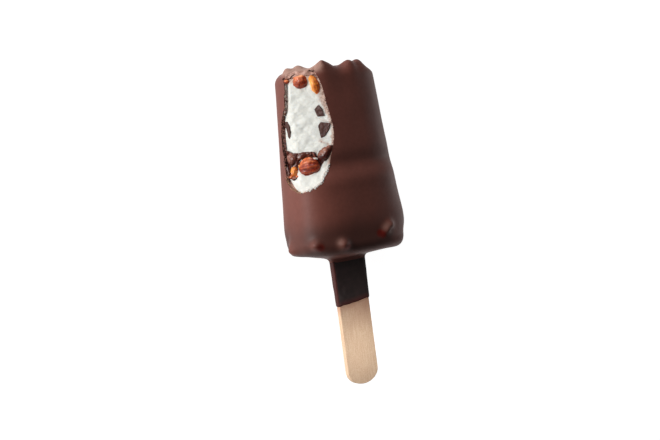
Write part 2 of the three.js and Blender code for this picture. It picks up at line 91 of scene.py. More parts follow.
# Where the coating is thin beside the foot knobs and shows dark red, on their shaded side as partly painted
# shade: x, y, z and reach.
THIN_AND_SHADED_SPOTS = [(-20.9, 5.5, 12.6, 1.8), (-10.5, 4.5, 16.4, 1.8), (6.2, 7.2, 16.8, 1.7), (7.6, 6.4, 16.7, 1.6)]
# And where a painted highlight makes it paler, on top of them: x, y, z, reach and share.
HIGHLIGHT_SPOTS = [(-13.0, 6.4, 15.9, 1.6, 0.25), (10.0, 9.0, 16.3, 1.8, 0.4)]

# ---- Bite ----
BITE_TURN = math.radians(44.4)
BITE_DEPTH = 15.7
BITE_LIFT_LEVEL, BITE_LIFT_RUN, BITE_LIFT = 38.5, 10, 5.8
BITE_TIP = 27.7
LEFT_TURN = math.radians(60)      # how far the cut along the bite's left edge faces round to the left
SMEAR_LEFT, SMEAR_TOP = -8, 73.0
SLITS = [(-3.4, 76.3, 0.2, 76.1), (-0.6, 75.1, -2.6, 73.8), (-8.6, 76.2, -11.1, 74.0),
         (-12.9, 75.1, -14.3, 74.0)]
SLIT_HALF_WIDTH, SLIT_FLOOR = 0.24, 13.2
# Brownish marks on the ice cream: from (u, y) to (u, y), and half width.
# The first is a stain, the other two painted shadows under the lower chip and along the ridge between the
# chips.
STAINS_AND_SHADOWS = [(-13.4, 66.0, -13.9, 61.0, 0.4), (-1.6, 47.6, 1.2, 46.2, 0.9), (-2.4, 57.2, 3.0, 55.3, 0.35)]
FAR = 45                          # reach of the cutting forms, past every side of the body
PAST_TOP = 90                     # level past the top of the body
FACE_ACROSS, FACE_ALONG = (-24, 14), (24, 84)   # stretch of u and of y that the bitten face covers
LAYER_ACROSS = (-30, 22)          # stretch of u that the edges of the fudge layer cover
WALL_REACH = (9, 24)              # the bite's walls meet the bar's surface between these depths
WALL_DEPTHS = [-2, 5, *np.arange(*WALL_REACH, 0.28), FAR]
ROUGH_LEVELS = (34, 44)           # the right edge grows ragged from the upper of these to the lower
SMEAR_INSET = 0.3                 # the smear ends this far under the coating's surface
CUT_REACH = 0.08                  # faces further than this from the skin are broken ones
KNOB_LEAN = 0.25                  # how far the top knobs lean out
FUDGE_TOP, FUDGE_FOOT = 44.0, 35.4

# ---- Chips: facing direction, level of the face, and outline ----
CHIP_THICKNESS, CHIP_PROUD = 2.2, 0.45
SIDE_TURN, SIDE_DEPTH = math.radians(88), 20.3
CHIPS = {
    "chip_upper": (BITE_TURN, BITE_DEPTH,
                   [(-0.6, 62.5), (0.6, 60.6), (1.3, 57.7), (-1.6, 57.6), (-2.6, 60.7)]),
    "chip_lower": (BITE_TURN, BITE_DEPTH,
                   [(-1.9, 54.0), (-0.7, 55.4), (3.1, 54.5), (2.7, 52.4), (0.2, 49.5), (-1.4, 48.9)]),
    "chip_left": (SIDE_TURN, SIDE_DEPTH,
                  [(-1.9, 57.3), (-0.6, 57.1), (0.2, 55.2), (0.6, 52.9), (0.2, 51.0), (-0.6, 50.1),
                   (-1.2, 50.8), (-1.5, 52.7), (-2.0, 54.8)]),
}

# ---- Stick and dip ----
STICK_OFFSET = -0.35
STICK_HALF_WIDTH, STICK_HALF_THICKNESS = 7.55, 1.1
STICK_FOOT, STICK_END_RISE, STICK_TOP, STICK_BEVEL = -55.3, 5.8, 25, 0.25
STICK_TINT, TINT_LEVELS = 0.8, (-27, -20.5)   # the wood is browner from these levels up
DIP_WALL, DIP_SWELL = 0.45, 0.3 / 19   # thickness, and what it gains per millimetre
DIP_FOOT, DIP_SLANT, DIP_RUN = -20.8, math.radians(5.8), 19.3
COLLAR_FOOT, COLLAR_TOP, COLLAR_WALL, COLLAR_FLARE = -3.2, 1.2, 0.9, 6.5
COLLAR_LIP, COLLAR_BLEND = 0.3, 0.45

# ---- Camera, which looks at the bar from its front left, and light ----
CAMERA_YAW, CAMERA_RISE, CAMERA_ROLL = (math.radians(a) for a in (33, 4.4, 7.58))
CAMERA_DISTANCE = 648
CAMERA_LENS, CAMERA_SENSOR = 85, 36
AIM_RIGHT, AIM_UP, AIM_ALONG = -6.97, 12.75, 0.8
BODY_MIDDLE = (0, 0.02, 0.017)    # what the lights are aimed at, in the row's frame
WORLD_STRENGTH = 0.12


# ---- Small helpers ----
def bell(distance, reach):
    return np.exp(-((distance / reach) ** 2))


def smoothstep(x, low, high):
    share = np.clip((x - low) / (high - low), 0, 1)
    return share * share * (3 - 2 * share)


def lumps(points, cell, seed=0):
    """Smooth random values from -1 to 1 at an array of points, which change over the length of a cell."""
    place = np.asarray(points, float) / cell
    base = np.floor(place).astype(np.int64)
    share = place - base
    share = share ** 3 * (share * (share * 6 - 15) + 10)
    total = np.zeros(len(place))
    for corner in product((0, 1), repeat=3):
        at = base + corner
        mixed = (at[:, 0] * 374761393 + at[:, 1] * 668265263 + at[:, 2] * 974634777 + seed * 1274126177)
        mixed &= 0xFFFFFFFF
        mixed = ((mixed ^ (mixed >> 13)) * 1274126177) & 0xFFFFFFFF
        value = ((mixed ^ (mixed >> 16)) & 0xFFFF) / 32767.5 - 1
        total += value * np.prod(np.where(corner, share, 1 - share), axis=1)
    return total


def rough(points, cell, octaves=3, seed=0, gain=0.55):
    """Lumps at several scales, each half as wide as the last."""
    total = np.zeros(len(points))
    for octave in range(octaves):
        total += gain ** octave * lumps(points, cell / 2 ** octave, seed + 17 * octave)
    return total


def unit(rows):
    """Rows scaled to a length of 1."""
    return rows / np.maximum(np.linalg.norm(rows, axis=1), 1e-9)[:, None]


def away(points, spot):
    """Distances from a spot, whose first three numbers are its place."""
    return np.linalg.norm(points - np.array(spot[:3]), axis=1)


def around(sides):
    return np.arange(sides) / sides * 2 * math.pi


def neighbours(count):
    """Each place round a ring, with the next."""
    return [(i, (i + 1) % count) for i in range(count)]


def capped(rings):
    """The points of rings, between the middles of the first and the last."""
    return np.concatenate([rings[0].mean(axis=0)[None], *rings, rings[-1].mean(axis=0)[None]])


def turned(turn):
    """The across, along and out directions of a face that is turned from the front to the left."""
    across = np.array([math.cos(turn), 0, math.sin(turn)])
    out = np.array([-math.sin(turn), 0, math.cos(turn)])
    return across, np.array([0.0, 1.0, 0.0]), out


def framed(basis, across, y, out):
    """Points of the bar's frame, from their distances along a basis."""
    return (np.asarray(across)[..., None] * basis[0] + np.asarray(y)[..., None] * basis[1]
            + np.asarray(out)[..., None] * basis[2])


BITE, LEFT_FACE = turned(BITE_TURN), turned(LEFT_TURN)

# ---- From the bar's frame, in millimetres, to the row's frame, in metres ----
LEAN = math.atan((FOOT_HALF_DEPTH - TOP_HALF_DEPTH) / BODY_LENGTH)


def bar_place():
    low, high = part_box("stick")
    across = (low.x + high.x) / 2 / MM - STICK_OFFSET
    end = STICK_FOOT * math.cos(LEAN) - (STICK_HALF_THICKNESS - STICK_BEVEL) * math.sin(LEAN)
    return Vector((across, low.y / MM - end, (FOOT_HALF_DEPTH - FLAT_TRIM) * math.cos(LEAN)))


PLACE = Matrix.Translation(bar_place() * MM) @ Matrix.Rotation(-LEAN, 4, "X") @ Matrix.Scale(MM, 4)


def linked(name, data):
    thing = bpy.data.objects.new(name, data)
    bpy.context.scene.collection.objects.link(thing)
    return thing


def mesh_object(name, points, faces):
    mesh = bpy.data.meshes.new(name)
    mesh.from_pydata(np.asarray(points).tolist(), [], faces)
    mesh.update()
    return linked(name, mesh)


def combine(target, operation, *others):
    """target, joined with, cut by or cut down to the others, which are used up."""
    for other in others:
        step = target.modifiers.new("combine", "BOOLEAN")
        step.object, step.operation, step.solver = other, operation, "MANIFOLD"
        bpy.context.view_layer.update()
        graph = bpy.context.evaluated_depsgraph_get()
        mesh = bpy.data.meshes.new_from_object(target.evaluated_get(graph))
        target.modifiers.clear()
        target.data = mesh
        bpy.data.objects.remove(other)
    if not target.data.polygons:
        raise RuntimeError(f"{target.name} came out empty")
    return target


def coordinates(mesh):
    flat = np.empty(len(mesh.vertices) * 3)
    mesh.vertices.foreach_get("co", flat)
    return flat.reshape(-1, 3)


def place(thing, slot, *nodes, sharp=40, material=None):
    """Finishes a piece: into the row's frame, shaded smooth up to an angle, riding on the bar."""
    thing.data.transform(PLACE)
    points = coordinates(thing.data)
    points[:, 2] = np.maximum(points[:, 2], 0)
    thing.data.vertices.foreach_set("co", points.ravel())
    thing.data.polygons.foreach_set("use_smooth", [True] * len(thing.data.polygons))
    thing.data.set_sharp_from_angle(angle=math.radians(sharp))
    thing.data.update()
    if material:
        thing.data.materials.clear()
        thing.data.materials.append(material)
    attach(thing, "root")
    if nodes:
        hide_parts(*nodes)
    return thing


# ---- Body forms ----
def half_sizes(y):
    share = y / BODY_LENGTH
    width = FOOT_HALF_WIDTH + (TOP_HALF_WIDTH - FOOT_HALF_WIDTH) * share
    depth = FOOT_HALF_DEPTH + (TOP_HALF_DEPTH - FOOT_HALF_DEPTH) * share
    return width, depth


def body_levels(shrink, foot_steps, rim_steps, wall_steps, top_steps):
    """Level, inset and share of width of each ring, from the middle of the foot to that of the top."""
    foot_rim, top_rim = FOOT_RIM - shrink / 2, TOP_RIM - shrink / 2
    foot, top = shrink, BODY_LENGTH - shrink
    rows = []
    for scale in np.arange(1, foot_steps) / foot_steps:
        rows.append((foot - FOOT_DOME * (1 - scale ** 2), foot_rim, scale))
    for turn in np.arange(rim_steps) / rim_steps * math.pi / 2:
        rows.append((foot + foot_rim * (1 - math.cos(turn)), foot_rim * (1 - math.sin(turn)), 1))
    for share in np.linspace(0, 1, wall_steps + 1):
        rows.append((foot + foot_rim + (top - top_rim - foot - foot_rim) * share, 0, 1))
    for turn in np.arange(rim_steps)[::-1] / rim_steps * math.pi / 2:
        rows.append((top - top_rim * (1 - math.cos(turn)), top_rim * (1 - math.sin(turn)), 1))
    for scale in np.arange(1, top_steps)[::-1] / top_steps:
        rows.append((top + TOP_CROWN * (1 - scale ** 2), top_rim, scale))
    return np.array(rows)


def outwards(points):
    """Directions straight out of the bar's sides."""
    x, y, z = points.T
    width, depth = half_sizes(y)
    return unit(np.stack([x / width ** 2, np.zeros(len(y)), z / depth ** 2], axis=1))


def knob_shift(points):
    outward = outwards(points)
    push = unit(outward * KNOB_LEAN + np.array([0, 1, 0]))
    shift = np.zeros_like(points)
    for x, z, height, across, down, power in TOP_KNOBS:
        near = np.exp(-((np.hypot(points[:, 0] - x, points[:, 2] - z) / across) ** power))
        fade = bell(np.maximum(0, BODY_LENGTH - points[:, 1]), down)
        shift += push * (height * near * fade)[:, None]
    for *spot, height, reach in FOOT_KNOBS:
        shift += outward * (height * bell(away(points, spot), reach))[:, None]
    return shift


def waisted(points):
    """The front falls in at the neck and swells at the shoulder below it."""
    moved = points.copy()
    swell = sum(size * bell(points[:, 1] - level, spread) for level, spread, size in (NECK, SHOULDER))
    moved[:, 2] += swell * smoothstep(points[:, 2] / half_sizes(points[:, 1])[1], 0.3, 0.95)
    return moved


def lifted(points):
    """The foot rises a little towards the left side of the bar, and drops towards the right."""
    left = smoothstep(-points[:, 0], 4, FOOT_HALF_WIDTH)
    right = smoothstep(points[:, 0], 8, FOOT_HALF_WIDTH)
    fade = 1 - smoothstep(points[:, 1], 0, BODY_LENGTH / 3)
    moved = points.copy()
    moved[:, 1] += (FOOT_LIFT * left - FOOT_DROP * right) * fade
    return moved


def stick_ring(angle, wall, power=0.5):
    """x and z of a rounded rectangle round the stick, with sharper corners at a lower power."""
    x, z = (np.sign(wave) * np.abs(wave) ** power for wave in (np.cos(angle), np.sin(angle)))
    return STICK_OFFSET + x * (STICK_HALF_WIDTH + wall), z * (STICK_HALF_THICKNESS + wall)


def section(x, z, width, depth):
    """1 on the body's outline of that half width and depth, and less inside it."""
    return np.abs(x / width) ** SECTION_POWER + np.abs(z / depth) ** SECTION_POWER


def body_ring(angle, width, depth):
    x, z = np.cos(angle), np.sin(angle)
    reach = section(x, z, width, depth) ** (-1 / SECTION_POWER)
    return reach * x, reach * z


def collar_rings(angle):
    """Rings of the foot, from the collar round the stick out to the rim, where the body's rings begin."""
    rings = []
    for turn in np.linspace(0, math.pi / 2, 6):
        wall = COLLAR_WALL - COLLAR_LIP * (1 - math.sin(turn))
        rings.append((stick_ring(angle, wall), COLLAR_FOOT + 0.5 * COLLAR_LIP * (1 - math.cos(turn))))
    for share in np.linspace(0.05, 1, 30):
        wall = COLLAR_WALL + COLLAR_FLARE * share ** 2.2
        rings.append((stick_ring(angle, wall), COLLAR_FOOT + (COLLAR_TOP - COLLAR_FOOT) * share))
    inner = stick_ring(angle, COLLAR_WALL + COLLAR_FLARE)
    width, depth = (half - FOOT_RIM - SKIN_INSET / 2 for half in half_sizes(0))
    outer = body_ring(angle, width, depth)
    for share in np.arange(1, 14) / 14:
        rings.append((tuple(i + (o - i) * share for i, o in zip(inner, outer)), FAR))
    made = []
    for (x, z), collar in rings:
        scale = section(x, z, width, depth) ** (2 / SECTION_POWER)
        dome = -FOOT_DOME * (1 - np.minimum(scale, 1)) ** 1.2
        y = SKIN_INSET - COLLAR_BLEND * np.logaddexp(-dome / COLLAR_BLEND, -collar / COLLAR_BLEND)
        made.append(np.stack([x, y, z], axis=-1))
    return np.array(made)


def body_form(name, shrink, sides, foot_steps, rim_steps, wall_steps, top_steps, outer=False):
    """The body, shrunk all round. The outer one has the collar, the knobs and the coating's unevenness."""
    rows = body_levels(shrink, foot_steps, rim_steps, wall_steps, top_steps)
    y, inset, scale = (column[:, None] for column in rows.T)
    angle = around(sides)
    width, depth = half_sizes(y)
    x, z = body_ring(angle[None, :], (width - shrink - inset) * scale, (depth - shrink - inset) * scale)
    rings = np.stack([x, np.broadcast_to(y, x.shape), z], axis=-1)
    low = [[0, shrink - FOOT_DOME, 0]]
    if outer:
        rings = np.concatenate([collar_rings(angle), rings[foot_steps - 1:]])
        low = [[STICK_OFFSET, COLLAR_FOOT, 0]]
    high = [[0, BODY_LENGTH - shrink + TOP_CROWN, 0]]
    points = waisted(lifted(np.concatenate([low, rings.reshape(-1, 3), high])))
    if outer:
        points = surface_waves(points + knob_shift(points))
    return mesh_object(name, points, skin_faces(len(rings), sides))


def surface_waves(points):
    """Slow unevenness of the coating, drawn inwards only."""
    wave = 0.5 + 0.5 * rough(points * np.array([1, 0.55, 1]), 9, 2, seed=5)
    wall = smoothstep(points[:, 1], 1, 8) * (1 - smoothstep(points[:, 1], 66, 74))
    return points - outwards(points) * (0.16 * np.clip(wave, 0, 1) * wall)[:, None]


def skin_faces(rings, sides):
    """Faces over rings of points with an end point first and another last."""
    pairs = neighbours(sides)
    last = 1 + rings * sides
    top = last - sides
    faces = [(0, 1 + a, 1 + b) for a, b in pairs] + [(last, top + b, top + a) for a, b in pairs]
    for low in range(1, top, sides):
        high = low + sides
        faces += [(low + a, high + a, high + b, low + b) for a, b in pairs]
    return faces


def prism_faces(count, layers):
    """Faces of a prism with layers of points, each of them round its outline."""
    faces = [tuple(range(count))[::-1], tuple(range(count * (layers - 1), count * layers))]
    for low in range(0, count * (layers - 1), count):
        high = low + count
        faces += [(low + a, low + b, high + b, high + a) for a, b in neighbours(count)]
    return faces


# ---- Cutting forms ----
def bite_face(y):
    down = np.maximum(0, (BITE_LIFT_LEVEL - y) / BITE_LIFT_RUN)
    return BITE_DEPTH + BITE_LIFT * down ** 1.6


def block(name, grid, far):
    """A closed solid between a grid of points, (rows, columns, 3), and a flat back over its outline."""
    rows, columns = grid.shape[:2]
    first = rows * columns
    at = np.arange(first).reshape(rows, columns)
    faces = np.stack([at[:-1, :-1], at[1:, :-1], at[1:, 1:], at[:-1, 1:]], axis=-1).reshape(-1, 4).tolist()
    edge = np.concatenate([at[0, :-1], at[:-1, -1], at[-1, :0:-1], at[:0:-1, 0]])
    back = far(grid.reshape(-1, 3)[edge])
    faces += [(int(edge[a]), int(edge[b]), first + b, first + a) for a, b in neighbours(len(edge))]
    faces.append(tuple(range(first, first + len(edge))))
    return mesh_object(name, np.concatenate([grid.reshape(-1, 3), back]), faces)


def beyond_face(name, relief, step):
    """Everything further out than the bitten face, whose relief is a function of u, y and the points."""
    u, y = np.meshgrid(np.arange(*FACE_ACROSS, step), np.arange(*FACE_ALONG, step))
    flat = framed(BITE, u, y, bite_face(y)).reshape(-1, 3)
    grid = framed(BITE, u, y, bite_face(y) + relief(u, y, flat).reshape(u.shape))
    return block(name, grid, lambda edge: edge + BITE[2] * (FAR - edge @ BITE[2])[:, None])


def cut_corners(before, after, share):
    """Two points on each stretch from before to after, a share of it in from either end."""
    cut = [before * (1 - share) + after * share, before * share + after * (1 - share)]
    return np.stack(cut, axis=1).reshape(-1, 2)


def evenly(line, step):
    length = np.concatenate([[0], np.cumsum(np.linalg.norm(np.diff(line, axis=0), axis=1))])
    at = np.linspace(0, length[-1], int(length[-1] / step) + 1)
    return np.stack([np.interp(at, length, line[:, i]) for i in range(2)], axis=1)


def resampled(points, step):
    """Points along an open line, rounded at its corners and evenly spaced."""
    line = np.array(points, float)
    for _ in range(3):
        line = np.concatenate([line[:1], cut_corners(line[:-1], line[1:], 0.25), line[-1:]])
    return evenly(line, step)


def ragged_prism(name, line, corners, basis, strength, seed, grow):
    """A prism over a fine line, which is uneven and moved sideways by grow, and coarse corners behind it."""
    outline = np.concatenate([line, np.array(corners, float)])
    tangent = np.gradient(line, axis=0)
    sideways = unit(np.stack([tangent[:, 1], -tangent[:, 0]], axis=1))
    layers = []
    for depth in WALL_DEPTHS:
        flat = outline.copy()
        wobble = strength * rough(framed(basis, *line.T, depth), 1.3, 3, seed) + grow
        flat[:len(line)] += sideways * wobble[:, None]
        layers.append(framed(basis, *flat.T, depth))
    return mesh_object(name, np.concatenate(layers), prism_faces(len(outline), len(layers)))


RIGHT_SIDE = [
    (-11.2, BITE_TIP), (-6.3, 29.2), (-3.8, 30.0), (-2.0, 31.5), (-1.0, 34.0), (0.6, 36.4), (1.4, 39.6),
    (3.3, 45.2), (4.1, 48.6), (4.3, 52.3), (3.7, 57.3), (2.7, 63.5), (1.9, 70.5), (0.9, 73.4), (-0.8, 77),
    (-1.5, PAST_TOP),
]
LEFT_SIDE = [
    (-9.0, PAST_TOP), (-9.0, 74.5), (-8.9, 71.5), (-9.1, 69.3), (-9.6, 66.5), (-9.8, 64.3), (-10.4, 62.1),
    (-12.0, 59.8), (-12.8, 57.4), (-13.1, 55), (-13.7, 52.6), (-14.1, 50), (-14.1, 47.5), (-14.0, 45),
    (-13.8, 42.8), (-13.4, 40.3), (-13.4, 37.9), (-13.1, 35.4), (-12.8, 33), (-11.5, 30.9), (-8.85, 29.4),
    (-6.7, 28.3), (-4.8, BITE_TIP),
]


def opening(name, grow=0.0, ragged=1.0, step=0.25):
    """The opening that the bite leaves in the coating, with broken edges."""
    right, left = resampled(RIGHT_SIDE, step), resampled(LEFT_SIDE, step)
    low, foot = 1 - smoothstep(right[:, 1], *ROUGH_LEVELS), BITE_TIP - grow
    from_right = ragged_prism(name, right, [(-FAR, PAST_TOP), (-FAR, foot)], BITE,
                              ragged * (0.05 + 0.32 * low), 3, grow)
    from_left = ragged_prism("left", left, [(FAR, foot), (FAR, PAST_TOP)], LEFT_FACE,
                             ragged * 0.3, 9, grow)
    return combine(from_right, "INTERSECT", from_left)


# ---- Materials ----
class Shader:
    """A material of one Principled shader, with helpers that add pattern nodes on object coordinates.

    A pattern is a socket, or the size in millimetres, detail and roughness of a noise.
    """

    def __init__(self, name, **sockets):
        self.material = bpy.data.materials.new(name)
        self.material.use_nodes = True
        self.tree = self.material.node_tree
        self.principled = self.tree.nodes["Principled BSDF"]
        self.where = self.add("ShaderNodeTexCoord").outputs["Object"]
        for socket, value in sockets.items():
            self.principled.inputs[socket.replace("_", " ")].default_value = value

    def add(self, kind, values=None, **settings):
        """A node, with values for its sockets, and settings of its own."""
        node = self.tree.nodes.new(kind)
        for setting, value in settings.items():
            setattr(node, setting, value)
        for socket, value in (values or {}).items():
            node.inputs[socket].default_value = value
        return node

    def join(self, source, node, socket):
        self.tree.links.new(source, node.inputs[socket])

    def scaled(self, factors):
        node = self.add("ShaderNodeMapping", {"Scale": factors})
        self.join(self.where, node, "Vector")
        return node.outputs[0]

    def noise(self, size_mm, detail=3.0, roughness=0.55, where=None, distortion=0.0):
        node = self.add("ShaderNodeTexNoise", {"Scale": 1 / (size_mm * MM), "Detail": detail,
                                               "Roughness": roughness, "Distortion": distortion})
        self.join(where or self.where, node, "Vector")
        return node.outputs["Fac"]

    def join_pattern(self, pattern, node, socket):
        self.join(self.noise(*pattern) if isinstance(pattern, tuple) else pattern, node, socket)

    def ramp(self, pattern, *stops):
        """Colours over a pattern. Each stop is (place, colour)."""
        node = self.add("ShaderNodeValToRGB")
        elements = node.color_ramp.elements
        while len(elements) < len(stops):
            elements.new(0.5)
        for element, (at, colour) in zip(elements, stops):
            element.position = at
            element.color = (*colour, 1)
        self.join_pattern(pattern, node, "Fac")
        return node.outputs["Color"]

    def blend(self, share, one, other):
        """A mix of two colours. The share is a number, or the name of an attribute of the mesh."""
        node = self.add("ShaderNodeMix", data_type="RGBA")
        if isinstance(share, str):
            share = self.add("ShaderNodeAttribute", attribute_name=share).outputs["Fac"]
        for socket, value in ((0, share), (6, one), (7, other)):
            if isinstance(value, float):
                node.inputs[socket].default_value = value
            elif isinstance(value, tuple):
                node.inputs[socket].default_value = (*value, 1)
            else:
                self.join(value, node, socket)
        return node.outputs[2]

    def finished(self, colour, roughness, *bumps):
        """The material. Roughness is (pattern, low, high), and a bump is (pattern, depth in millimetres)."""
        self.join(colour, self.principled, "Base Color")
        pattern, low, high = roughness
        node = self.add("ShaderNodeMapRange", {"To Min": low, "To Max": high})
        self.join_pattern(pattern, node, "Value")
        self.join(node.outputs[0], self.principled, "Roughness")
        normal = None
        for pattern, depth in bumps:
            node = self.add("ShaderNodeBump", {"Strength": 1.0, "Distance": depth * MM})
            self.join_pattern(pattern, node, "Height")
            if normal:
                self.join(normal, node, "Normal")
            normal = node.outputs[0]
        self.join(normal, self.principled, "Normal")
        return self.material


def linear(code):
    """A linear colour from an sRGB hex code."""
    parts = [int(code[i:i + 2], 16) / 255 for i in (1, 3, 5)]
    return tuple(p / 12.92 if p <= 0.04045 else ((p + 0.055) / 1.055) ** 2.4 for p in parts)


def speckled(name, colours, roughness, bump, **sockets):
    """A material of colours over one pattern."""
    shader = Shader(name, **sockets)
    return shader.finished(shader.ramp(*colours), roughness, bump)


def chocolate():
    shader = Shader("coating_chocolate", IOR=1.33)
    tone = shader.ramp((16, 2), (0.3, (0.125, 0.038, 0.027)), (0.7, (0.15, 0.046, 0.033)))
    fine = shader.ramp((1.5, 4), (0.35, (0.09, 0.027, 0.019)), (0.65, (0.18, 0.06, 0.045)))
    # Painted shade: the front of the coating is darker towards the foot.
    brown = shader.blend("deep", shader.blend(0.14, tone, fine), (0.055, 0.017, 0.012))
    # Painted highlight: paler at the top left of the bar and on top of two foot knobs.
    pale = shader.blend("pale", brown, (0.31, 0.18, 0.14))
    # Dark red of thin coating by the foot knobs, set on their shaded side, so partly painted shade.
    colour = shader.blend("thin", pale, (0.12, 0.006, 0.002))
    return shader.finished(colour, ((6, 4), 0.48, 0.6), ((6, 2), 0.05), ((0.7, 3), 0.01))


def broken_chocolate():
    """Crumbly where it broke, and paler and smoother at the top of the bar and on parts of the bite's walls,
    partly as painted light.
    """
    shader = Shader("broken_chocolate", IOR=1.4)
    grain = shader.noise(0.9, 5, 0.65)
    side = shader.ramp(grain, (0.4, (0.025, 0.005, 0.003)), (0.48, (0.08, 0.022, 0.015)),
                       (0.58, (0.19, 0.07, 0.05)), (0.68, (0.42, 0.23, 0.17)))
    top = shader.ramp(grain, (0.3, (0.2, 0.09, 0.065)), (0.45, (0.36, 0.2, 0.155)),
                      (0.65, (0.48, 0.29, 0.235)))
    return shader.finished(shader.blend("top", side, top), ((0.9, 3), 0.35, 0.7), (grain, 0.14))


def ice_cream():
    """White, and creamier where it was smeared over the coating's edge or stained, and where painted shadows
    lie by the chips.
    """
    shader = Shader("ice_cream", Subsurface_Weight=0.3, Subsurface_Scale=0.0012, IOR=1.33,
                    Subsurface_Radius=(1.0, 0.85, 0.7))
    white = shader.ramp((1.8, 4, 0.6), (0.3, (0.56, 0.56, 0.52)), (0.7, (0.65, 0.65, 0.61)))
    cream = shader.ramp((1.2, 4, 0.65), (0.3, (0.2, 0.1, 0.07)), (0.46, (0.42, 0.29, 0.235)),
                        (0.7, (0.54, 0.43, 0.365)))
    return shader.finished(shader.blend("smear", white, cream), ((1.2, 3), 0.5, 0.8), ((0.9, 5, 0.65), 0.09))


def fudge_material():
    colours = [(2.2, 4, 0.6), (0.3, (0.012, 0.002, 0.001)), (0.48, (0.045, 0.009, 0.006)),
               (0.62, (0.11, 0.026, 0.017)), (0.75, (0.24, 0.09, 0.06))]
    return speckled("fudge", colours, ((1.5, 3), 0.18, 0.4), ((0.9, 4, 0.6), 0.1), Coat_Weight=0.6,
                    Coat_Roughness=0.12, IOR=1.5)


def nut_material(name, dark, middle, light, bare):
    """Nut skin from dark to light with the tone attribute, which is painted light and shade, and paler flesh
    on the bare facets.
    """
    shader = Shader(name, Coat_Weight=0.2, Coat_Roughness=0.15, IOR=1.38, Subsurface_Weight=0.1,
                    Subsurface_Scale=0.0008)
    grain = shader.noise(1.1, 4, 0.6, distortion=0.5)
    low = shader.ramp(grain, (0.38, dark), (0.72, middle))
    high = shader.ramp(grain, (0.32, middle), (0.62, light))
    flesh = shader.ramp((0.7, 3), (0.3, light), (0.7, bare))
    colour = shader.blend("bare", shader.blend("tone", low, high), flesh)
    return shader.finished(colour, ((0.8, 3), 0.25, 0.45), ((0.5, 4, 0.6), 0.05))


def crumb_material():
    colours = [(0.6, 3), (0.35, (0.18, 0.075, 0.042)), (0.65, (0.46, 0.26, 0.15))]
    return speckled("tan_crumbs", colours, ((0.8, 3), 0.4, 0.7), ((0.3, 3), 0.04), IOR=1.4)


def chip_material():
    colours = [(1.2, 4), (0.3, (0.04, 0.015, 0.011)), (0.7, (0.08, 0.032, 0.025))]
    return speckled("chocolate_chip", colours, ((0.8, 3), 0.4, 0.6), ((0.6, 3), 0.04), IOR=1.35)


def wood():
    shader = Shader("birch_wood", IOR=1.4)
    grain = shader.noise(0.35, 5, 0.6, where=shader.scaled((1, 0.035, 1)))
    speckle = shader.noise(0.4, 3, 0.6)
    base = shader.ramp(grain, (0.32, linear("#c9a184")), (0.5, linear("#d6b595")), (0.7, linear("#e2c7a9")))
    spots = shader.ramp(speckle, (0.3, linear("#b98e70")), (0.5, linear("#d9ba9b")), (0.7, linear("#ecd6bd")))
    colour = shader.blend("tint", shader.blend(0.35, base, spots), linear("#b07e66"))
    return shader.finished(colour, (grain, 0.6, 0.8), (grain, 0.03), (speckle, 0.015))


def dip_chocolate():
    shader = Shader("dip_chocolate", IOR=1.33)
    tone = shader.ramp((3, 3), (0.3, (0.018, 0.01, 0.009)), (0.7, (0.032, 0.017, 0.016)))
    colour = shader.blend("thin", tone, (0.055, 0.01, 0.007))
    return shader.finished(colour, ((2, 3), 0.45, 0.6), ((2.5, 2), 0.04))


# ---- Coating ----
def slit(u_from, y_from, u_to, y_to):
    """A lens-shaped crack through the coating, between two points of the bitten face."""
    start, along = np.array([u_from, y_from]), np.array([u_to - u_from, y_to - y_from])
    aside = np.array([-along[1], along[0]]) / np.linalg.norm(along)
    share = np.linspace(0, 1, 13)[:, None]
    swell = SLIT_HALF_WIDTH * np.sin(math.pi * share) ** 0.7
    middle = start + along * share + aside * 0.15 * np.sin(7 * share)
    outline = np.concatenate([middle + aside * swell, (middle - aside * swell)[-2:0:-1]])
    count = len(outline)
    layers = [framed(BITE, *outline.T, depth) for depth in (SLIT_FLOOR, FAR)]
    faces = [tuple(range(count)), tuple(range(count, 2 * count))[::-1]]
    faces += [(a, a + count, b + count, b) for a, b in neighbours(count)]
    return mesh_object("slit", np.concatenate(layers), faces)


def set_attributes(thing, **named):
    """Attributes of the points, each an array or one number."""
    for name, values in named.items():
        made = thing.data.attributes.new(name, "FLOAT", "POINT")
        made.data.foreach_set("value", np.full(len(thing.data.vertices), values, np.float32))


def paint_cut(shell, skin):
    """Faces off the skin are of broken chocolate. Called before the piece is placed."""
    shell.data.materials.clear()
    shell.data.materials.append(chocolate())
    shell.data.materials.append(BROKEN)
    for face in shell.data.polygons:
        found = skin.find_nearest(face.center)
        face.material_index = int(found[3] is None or found[3] > CUT_REACH)


def tree_of(thing):
    points = [v.co.copy() for v in thing.data.vertices]
    return BVHTree.FromPolygons(points, [tuple(p.vertices) for p in thing.data.polygons])


def stick_room():
    """The room for the stick and its dip in the foot of the body."""
    sides, levels = 260, (DIP_FOOT, BODY_LENGTH / 3)
    x, z = stick_ring(around(sides), 0.5)
    rings = [np.stack([x, np.full(sides, y), z], axis=-1) for y in levels]
    ends = [np.array([[STICK_OFFSET, y, 0]]) for y in levels]
    return mesh_object("stick_room", np.concatenate([ends[0], *rings, ends[1]]), skin_faces(2, sides))


def top_relief(u, y, points):
    """The coating is cut flush with the face at the top of the bar, and away to the ice cream below that."""
    flush = smoothstep(y, BODY_LENGTH - COATING - 2, BODY_LENGTH - COATING - 0.6)
    crumbly = 0.28 * rough(points, 1.6, 3, seed=21) + 0.45 * rough(points, 5, 2, seed=25)
    return -3 * (1 - flush) + crumbly.reshape(u.shape) * flush


